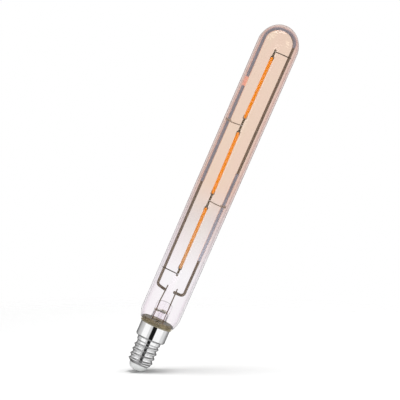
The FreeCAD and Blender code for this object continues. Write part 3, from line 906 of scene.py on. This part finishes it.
class LAMP_OT_leads(bpy.types.Operator):
    """Build the leads through the press, with their copper-clad pieces"""

    bl_idname = "lamp.leads"
    bl_label = "Leads"

    def execute(self, context):
        sizes, colours = lamp_settings(context)
        thin = sizes.lead_radius
        drawn = metal(colours, "inner_lead", "wire", 0.35)
        clad = metal(colours, "copper_clad", "copper", 0.4)
        left_top_x = high("left_inner_lead").x - thin
        for side, bend in (("left", 0.003), ("right", 0)):
            x = centre(side + "_dumet_seal").x
            foot, seal_foot, joint = (
                at(x, low(side + name).z) for name in ("_outer_lead", "_dumet_seal", "_inner_lead")
            )
            top = at(left_top_x if side == "left" else x, high(side + "_inner_lead").z)
            path = rounded([joint, at(x, PRESS_TOP_Z), top], [bend])
            for name, path, radius, slot, material, node_end in (
                ("_lead", path, thin * 1.2, "lead_wire", drawn, "_inner_lead"),
                ("_seal", straight(seal_foot, joint), thin, "copper_clad_wire", clad, "_dumet_seal"),
                ("_tail", straight(foot, seal_foot), thin * 0.8, "lead_wire", clad, "_outer_lead"),
            ):
                set_in_place(wire(side + name, path, radius), slot, material, side + node_end)
        return {"FINISHED"}


# The frame's wires stand behind the axis and lean out as they rise.
FRAME_Y = centre("left_frame_wire").y
FRAME_REACH = 0.00075
FRAME_FOOT_Z = low("right_frame_wire").z + FRAME_REACH
APEX_Z = high("right_frame_wire").z - FRAME_REACH
# Where each wire stands at its foot and under the dome
FRAME_XS = {"left": (-0.00845, -0.0089), "right": (0.0075, 0.0083)}
LOOP_BEND = 0.0084


def on_frame(side, z):
    """The middle of a frame wire at a height."""
    foot_x, top_x = FRAME_XS[side]
    x = foot_x + (top_x - foot_x) * (z - FRAME_FOOT_Z) / (APEX_Z - FRAME_FOOT_Z)
    return Vector((x, FRAME_Y, z))


def over_the_loop(start, end_z, bends):
    """A path up the right side, round under the dome and down the left side."""
    loop = [on_frame("right", APEX_Z), on_frame("left", APEX_Z), on_frame("left", end_z)]
    return rounded(start + loop, bends)


class LAMP_OT_frame(bpy.types.Operator):
    """Build the two thick wires and their insulating sleeves"""

    bl_idname = "lamp.frame"
    bl_label = "Frame wires and sleeves"

    def execute(self, context):
        sizes, colours = lamp_settings(context)
        steel = metal(colours, "frame_wire", "wire", 0.38, metallic=0.5)
        foot_fall = UP * 0.0006
        foot_bend = 0.002
        left_foot = Vector((-0.00275, FRAME_Y, FRAME_FOOT_Z))
        right_foot = Vector((0.00145, FRAME_Y, FRAME_FOOT_Z))
        left = [left_foot - foot_fall, on_frame("left", FRAME_FOOT_Z) + foot_fall]
        right = [right_foot, on_frame("right", FRAME_FOOT_Z)]
        right_bends = [foot_bend, LOOP_BEND, LOOP_BEND]
        for side, path in (
            ("left", rounded(left + [on_frame("left", LEFT_SPLICE_Z)], [foot_bend])),
            ("right", over_the_loop(right, LEFT_SPLICE_Z + SPLICE_GAP, right_bends)),
        ):
            piece = wire(side + "_wire", path, sizes.frame_wire_radius, sides=32)
            set_in_place(piece, "frame_steel", steel, side + "_frame_wire")

        silicone = sleeve_silicone(colours)
        start = on_frame("right", APEX_Z - LOOP_BEND + 0.0011)
        foot = on_frame("right", low("right_insulating_sleeve").z)
        head = on_frame("right", high("right_insulating_sleeve").z)
        end_z = low("top_insulating_sleeve").z
        for name, path in (
            ("top", over_the_loop([start], end_z, [LOOP_BEND - 0.0012, LOOP_BEND])),
            ("right", straight(foot, head)),
        ):
            piece = sleeve(name + "_sleeve", path, sizes)
            set_in_place(piece, "sleeve", silicone, name + "_insulating_sleeve")
        return {"FINISHED"}


class LAMP_OT_filaments(bpy.types.Operator):
    """Build the three filaments with their coats, end clips and tabs"""

    bl_idname = "lamp.filaments"
    bl_label = "Filaments"

    def execute(self, context):
        sizes, colours = lamp_settings(context)
        phosphor = phosphor_coat(colours)
        tab_metal = metal(colours, "filament_tab", "tab", 0.5, dark=0.8, bright=1.25, metallic=0.5)
        fired = grained("fired_strip", (0.7, 0.7, 0.66), 0.6, 3000.0, 400.0, 0.4)
        clip_cover = UP * 0.0018
        steps = 8
        for level in LEVELS:
            node_name = level + "_phosphor_coat"
            y = centre(node_name).y
            foot_z, head_z = low(node_name).z, high(node_name).z
            foot = Vector((chain_x(foot_z), y, foot_z)) - clip_cover
            head = Vector((chain_x(head_z), y, head_z)) + clip_cover
            path = [foot.lerp(head, step / steps) for step in range(steps + 1)]
            coat = wire(level + "_coat", path, sizes.filament_radius, end_round=0.8, sides=32)
            set_in_place(coat, "phosphor", phosphor, node_name)
            for end in ("bottom", "top"):
                tab_name = f"{level}_{end}_tab"
                set_in_place(clip_and_tab(tab_name, level, end), "filament_tab", tab_metal, tab_name)
            dress_node(level + "_led_strip", fired)
        return {"FINISHED"}


def chain_x(z):
    """Where the chain of filaments stands at a height, from its coats' own boxes."""
    coat_width = 0.00166
    for level in LEVELS:
        box_low, box_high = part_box(level + "_phosphor_coat")
        if z <= box_high.z + 0.004 or level == "upper":
            break
    lean = (box_high.x - box_low.x - coat_width) * (1 if level == "upper" else -1)
    share = (z - (box_low.z + box_high.z) / 2) / (box_high.z - box_low.z)
    return (box_high.x + box_low.x) / 2 + lean * share


def soft_block(builder, x, y_span, z_from, z_to, width, taper):
    """A block with soft edges, whose width changes from one end to the other."""
    front_y, back_y = y_span
    corners = []
    for z in sorted((z_from, z_to)):
        half = width / 2 * (taper if z == z_to else 1)
        for side, y in ((-half, front_y), (half, front_y), (half, back_y), (-half, back_y)):
            corners.append(builder.verts.new((x + side, y, z)))
    quads = [(0, 1, 2, 3), (7, 6, 5, 4), (0, 4, 5, 1), (1, 5, 6, 2), (2, 6, 7, 3), (3, 7, 4, 0)]
    faces = [builder.faces.new([corners[index] for index in quad]) for quad in quads]
    edges = {edge for face in faces for edge in face.edges}
    bmesh.ops.bevel(builder, geom=list(edges), offset=0.00009, segments=2, affect="EDGES", profile=0.6)


def clip_and_tab(tab_name, level, end):
    """A clip round the filament's end and the flat tab that runs on from it, in one piece."""
    box_low, box_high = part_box(tab_name)
    up = 1 if end == "bottom" else -1
    tab_end_z, clip_end_z = (box_low.z, box_high.z)[::up]
    clip_size = 0.0022
    clip_half = 0.00052
    tab_width = 0.0011
    tab_sheet = 0.0002
    clip_foot_z = clip_end_z - up * clip_size
    y = centre(f"{level}_phosphor_coat").y
    # At a junction the tab from below lies behind the tab from above
    front_y = y if end == "top" and level != "upper" else y - tab_sheet

    def build(builder):
        clip_x = chain_x((clip_end_z + clip_foot_z) / 2)
        clip_span = (y - clip_half, y + clip_half)
        soft_block(builder, clip_x, clip_span, clip_foot_z, clip_end_z, clip_size, 0.96)
        tab_x = (box_low.x + box_high.x) / 2
        tab_span = (front_y, front_y + tab_sheet)
        soft_block(builder, tab_x, tab_span, tab_end_z, clip_foot_z + up * 0.0003, tab_width, 1.15)

    return mesh_object(tab_name + "_metal", build)


class LAMP_OT_links(bpy.types.Operator):
    """Build the thin wires that join and hold the chain of filaments, and their welds"""

    bl_idname = "lamp.links"
    bl_label = "Links and supports"

    def execute(self, context):
        sizes, colours = lamp_settings(context)
        thin = sizes.lead_radius
        drawn = metal(colours, "lead_wire", "lead", 0.3)
        pale = metal(colours, "support_wire", "lead", 0.3, dark=1.2, bright=1.5, metallic=0.5)
        bead = metal(colours, "weld_bead", "plate", 0.5, dark=0.8, bright=1.0)
        top_low, top_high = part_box("top_link_wire")
        top_z = (top_low.z + top_high.z) / 2
        box_low, box_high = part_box("bottom_link_wire")
        bottom = straight(at(box_high.x, box_low.z + thin), at(box_low.x, box_high.z - thin))
        for name, path, material in (
            ("top_link", straight(at(top_low.x, top_z), at(top_high.x, top_z), 0.0001), drawn),
            ("bottom_link", bottom, drawn),
            ("upper_support", wrapped_path("upper_support_wire", "left", sizes), pale),
            ("lower_support", wrapped_path("lower_support_wire", "right", sizes), pale),
        ):
            set_in_place(wire(name, path, thin), "lead_wire", material, name + "_wire")
        for name, spot in weld_spots().items():
            set_in_place(weld(name, spot, thin), "lead_wire", bead)
        return {"FINISHED"}


def wrapped_path(node_name, side, sizes):
    """Out from the junction, once and a half round the sleeve, and on to a short tail."""
    z = centre(node_name).z
    inner_x = low(node_name).x if side == "right" else high(node_name).x
    sleeve_x = on_frame(side, z).x
    reach = sizes.sleeve_radius + sizes.lead_radius
    inward = -reach if side == "right" else reach
    pitch = 0.0009
    turns = 1.5
    steps = 48
    near_x = inner_x * 0.4 + (sleeve_x + inward) * 0.6
    path = [at(inner_x, z), Vector((near_x, -0.0001, z - pitch * 0.5))]
    for share in (step / steps for step in range(steps + 1)):
        angle = turns * 2 * math.pi * share + 0.5
        x = sleeve_x + inward * math.cos(angle)
        y = FRAME_Y - reach * math.sin(angle)
        path.append(Vector((x, y, z - pitch * 0.6 + pitch * turns * share * 0.8)))
    return path


def weld_spots():
    """Where wires and tabs are welded together."""
    front = FRONT * 0.0002
    foot_y = 0.0001
    spots = {
        "top_tab": (centre("top_link_wire").z,) * 2,
        "bottom_tab": (centre("bottom_link_wire").z, low("bottom_link_wire").z + 0.00025),
        "upper_junction": (centre("upper_support_wire").z,) * 2,
        "lower_junction": (centre("lower_support_wire").z,) * 2,
    }
    return {
        **{name + "_weld": at(chain_x(chain_z), z) + front for name, (chain_z, z) in spots.items()},
        "left_foot_weld": Vector((-0.0029, foot_y, FRAME_FOOT_Z - 0.0005)),
        "right_foot_weld": Vector((0.0029, foot_y, FRAME_FOOT_Z)),
    }


def weld(name, spot, thin):
    """A small uneven bead of metal."""
    radius = thin * 1.5
    stretch = Vector((1.3, 0.7, 1))
    unevenness = 0.15

    def build(builder):
        bmesh.ops.create_icosphere(builder, subdivisions=3, radius=radius)
        for vertex in builder.verts:
            swell = 1 + unevenness * noise.noise(vertex.co * 4000 + spot * 1000)
            vertex.co = vertex.co * swell * stretch + spot

    return mesh_object(name, build)


class LAMP_OT_driver(bpy.types.Operator):
    """Dress the circuit board and its parts in the cap"""

    bl_idname = "lamp.driver"
    bl_label = "Driver"

    def execute(self, context):
        colours = context.scene.lamp_colours
        moulding = grained("chip_moulding", (0.02, 0.02, 0.022), 0.5, 4000.0, 500.0, 0.4)
        tinned = metal(colours, "tinned_wire", "lead", 0.3)
        for node_name, material in (
            ("driver_board", grained("laminate", colours.board, 0.45, 1500.0, 300.0, 0.4)),
            ("bridge_rectifier", moulding),
            ("driver_chip", moulding),
            ("smoothing_capacitor", metal(colours, "capacitor_can", "plate", 0.3)),
            ("chip_resistors", grained("resistor_body", (0.05, 0.05, 0.06), 0.35, 3000.0, 500.0, 0.4)),
            ("contact_wire", tinned),
            ("shell_wire", tinned),
        ):
            dress_node(node_name, material)
        return {"FINISHED"}


# ---- stage ----

LEAN = math.radians(23.63)
CAMERA_RISE = math.radians(4.5)
FLOOR_RISE = math.radians(6.0)
PIXEL = 0.0005519
PHOTO_SIZE = 400
TIP_PIXEL = (136.1, 370.25)
CAMERA_DISTANCE = 1.6
SENSOR_WIDTH = 36.0
FLOOR_RADIUS = 1.4
FLOOR_DROP = 0.0006
# The floor's distances from the cap's tip at which it starts to fade and is gone
FLOOR_NEAR = 0.14
FLOOR_FAR = 0.3


def picture_axes():
    """The picture's right and up, and the way the camera looks, in the lamp's own frame."""
    look = Vector((0, math.cos(CAMERA_RISE), -math.sin(CAMERA_RISE)))
    level_up = Vector((0, math.sin(CAMERA_RISE), math.cos(CAMERA_RISE)))
    across = Vector((1, 0, 0))
    up = level_up * math.cos(LEAN) - across * math.sin(LEAN)
    right = across * math.cos(LEAN) + level_up * math.sin(LEAN)
    return right, up, look


def floor_material():
    """Pale floor that keeps the lamp's shadow, fades out, and is seen directly and from above only."""
    material, tree, shader = plain_material("pale_floor", roughness=1.0, specular_ior_level=0.0)
    grains = effect(tree, speckle, Grain=300.0, Mottle=20.0, Amount=0.3)["Shade"]
    wired(shader, base_color=toned(grains, greys([(0, 0.95), (1, 0.96)])))
    ray = node(tree, "LightPath").outputs
    geometry = node(tree, "NewGeometry").outputs
    distance = node(tree, "VectorMath", {0: geometry["Position"]}, operation="LENGTH").outputs["Value"]
    beyond = arithmetic("SUBTRACT", distance, FLOOR_NEAR)
    faded = arithmetic("DIVIDE", beyond, FLOOR_FAR - FLOOR_NEAR, clamp=True)
    hidden = (ray["Is Glossy Ray"], ray["Is Transmission Ray"], geometry["Backfacing"], faded)
    show(arithmetic("MAXIMUM", *hidden), shader, transparent(tree))
    return material


DIFFUSE_LEVEL = 0.15
# The studio above and below the bands, from straight down to straight up, as (share of the way, tone)
STEEP_SHARES = ((0, 1), (0.17, 1), (0.22, 0), (0.78, 0), (0.83, 1), (1, 1))
STEEP_TONES = ((0, 0.35), (0.15, 0.08), (0.5, 0.08), (0.8, 0.12), (1, 0.25))
# Bands of the studio round the lamp, by azimuth in degrees from the front, positive to the right
STUDIO_BANDS = (
    (-180, 0.35), (-172, 0.3), (-166, 0.12), (-150, 0.15), (-130, 0.35), (-110, 0.55), (-85, 0.62),
    (-74, 1), (-33, 1), (-29, 0.72), (-13, 0.66), (-10.5, 0.01), (20, 0.01), (22.5, 1), (74, 1),
    (82, 0.75), (105, 0.7), (125, 0.4), (150, 0.15), (166, 0.12), (172, 0.3), (180, 0.35),
)


def greys(stops):
    return [(position, (tone, tone, tone)) for position, tone in stops]


def studio_world():
    """White to the eye and through glass, banded to polished metal, and a plain room to the rest."""
    world = bpy.data.worlds.new("studio")
    world.use_nodes = True
    tree = world.node_tree
    ray = node(tree, "LightPath").outputs
    seen = arithmetic("MAXIMUM", ray["Is Camera Ray"], ray["Is Transmission Ray"], DIFFUSE_LEVEL)
    plain = node(tree, "Background", {"Strength": seen, "Color": (*WHITE, 1)})
    direction = node(tree, "SeparateXYZ", {0: node(tree, "TexCoord").outputs["Generated"]}).outputs
    rise = arithmetic("ADD", arithmetic("MULTIPLY", direction["Z"], 0.5), 0.5)
    front = arithmetic("MULTIPLY", direction["Y"], -1.0)
    azimuth = arithmetic("ARCTAN2", direction["X"], front)
    round_share = arithmetic("ADD", arithmetic("DIVIDE", azimuth, 2 * math.pi), 0.5)
    bands = greys([((degrees + 180) / 360, tone) for degrees, tone in STUDIO_BANDS])
    banded = tree.nodes["Background"]
    steepness, steep = toned(rise, greys(STEEP_SHARES)), toned(rise, greys(STEEP_TONES))
    wired(banded, color=mixed(steepness, toned(round_share, bands), steep))
    polished = arithmetic("MULTIPLY", ray["Is Glossy Ray"], ray["Is Reflection Ray"])
    show(polished, plain, banded, "World Output")
    bpy.context.scene.world = world


def area_light(name, spot, width, power, tone=WHITE):
    """A square light that shines on the lamp and isn't mirrored in it."""
    lamp = bpy.data.lights.new(name, "AREA")
    lamp.size = width
    lamp.energy = power
    lamp.color = tone
    light = bpy.data.objects.new(name, lamp)
    bpy.context.scene.collection.objects.link(light)
    light.location = spot
    light.rotation_mode = "QUATERNION"
    light.rotation_quaternion = spot.to_track_quat("Z", "Y")
    light.visible_glossy = False
    return light


def lit_by_windows():
    """Two warm windows that only the glass tube mirrors."""
    window_set = bpy.data.collections.new("glass_in_the_windows")
    window_set.objects.link(bpy.data.objects["glass_tube"])
    distance = 1.4
    for name, direction, width in (
        ("left_window", Vector((-0.77, -0.345, 0.54)), 0.75),
        ("right_window", Vector((0.66, -0.57, 0.50)), 0.55),
    ):
        window = area_light(name, UP * GLASS_TOP_Z + direction * distance, width, 10.0, (1, 0.88, 0.66))
        window.visible_glossy = True
        window.visible_diffuse = False
        window.visible_transmission = False
        window.light_linking.receiver_collection = window_set


class LAMP_OT_stage(bpy.types.Operator):
    """Set up the pale floor, the soft lights and the camera"""

    bl_idname = "lamp.stage"
    bl_label = "Stage"

    def execute(self, context):
        right, up, look = picture_axes()
        floor_up = (up * math.cos(FLOOR_RISE) - look * math.sin(FLOOR_RISE)).normalized()
        turn = Matrix((right, right.cross(floor_up), floor_up)).transposed()

        def disc(builder):
            bmesh.ops.create_circle(builder, cap_ends=True, segments=96, radius=FLOOR_RADIUS)
            bmesh.ops.rotate(builder, verts=builder.verts, cent=(0, 0, 0), matrix=turn)
            bmesh.ops.translate(builder, verts=builder.verts, vec=-floor_up * FLOOR_DROP)

        floor = mesh_object("floor", disc)
        floor.data.materials.append(floor_material())
        if floor.data.polygons[0].normal.dot(floor_up) < 0:
            floor.data.flip_normals()

        studio_world()
        above = area_light("overhead_light", floor_up * 1.2 + right * 0.26, 1.02, 15.4)
        above.data.shape = "ELLIPSE"
        above.data.size_y = 0.4
        across = Matrix((right, floor_up.cross(right), floor_up)).transposed()
        above.rotation_quaternion = across.to_quaternion()
        area_light("front_light", up * 0.12 - look * 1.5, 0.8, 8.5)
        lit_by_windows()

        view = bpy.data.cameras.new("camera")
        view.sensor_width = SENSOR_WIDTH
        view.lens = SENSOR_WIDTH * CAMERA_DISTANCE / (PIXEL * PHOTO_SIZE)
        view.clip_start = 0.05
        view.clip_end = 20
        camera = bpy.data.objects.new("camera", view)
        context.scene.collection.objects.link(camera)
        middle_pixel = PHOTO_SIZE / 2
        aim = right * (middle_pixel - TIP_PIXEL[0]) * PIXEL + up * (TIP_PIXEL[1] - middle_pixel) * PIXEL
        spot = aim - look * CAMERA_DISTANCE
        turn = Matrix((right, up, -look)).transposed().to_4x4()
        camera.matrix_world = Matrix.Translation(spot) @ turn
        context.scene.camera = camera
        context.scene.view_settings.view_transform = "Standard"
        return {"FINISHED"}


class LAMP_PT_panel(bpy.types.Panel):
    """Lists the lamp's pieces, sizes and colours"""

    bl_idname = "LAMP_PT_panel"
    bl_label = "Tubular filament lamp"
    bl_space_type = "VIEW_3D"
    bl_region_type = "UI"
    bl_category = "Lamp"

    def draw(self, context):
        for operator in OPERATORS:
            self.layout.operator(operator.bl_idname)
        for group in lamp_settings(context):
            box = self.layout.box()
            for name in group.__annotations__:
                box.prop(group, name)


OPERATORS = (
    LAMP_OT_cap, LAMP_OT_cement, LAMP_OT_glass, LAMP_OT_stem, LAMP_OT_leads, LAMP_OT_frame,
    LAMP_OT_filaments, LAMP_OT_links, LAMP_OT_driver, LAMP_OT_stage,
)
CLASSES = (LampSizes, LampColours, *OPERATORS, LAMP_PT_panel)


def register():
    for made in CLASSES:
        bpy.utils.register_class(made)
    bpy.types.Scene.lamp_sizes = bpy.props.PointerProperty(type=LampSizes)
    bpy.types.Scene.lamp_colours = bpy.props.PointerProperty(type=LampColours)


def unregister():
    del bpy.types.Scene.lamp_sizes
    del bpy.types.Scene.lamp_colours
    for made in reversed(CLASSES):
        bpy.utils.unregister_class(made)


def main():
    register()
    bpy.ops.lamp.cap()
    bpy.ops.lamp.cement()
    bpy.ops.lamp.glass()
    bpy.ops.lamp.stem()
    bpy.ops.lamp.leads()
    bpy.ops.lamp.frame()
    bpy.ops.lamp.filaments()
    bpy.ops.lamp.links()
    bpy.ops.lamp.driver()
    bpy.ops.lamp.stage()


if __name__ == "__main__":
    main()
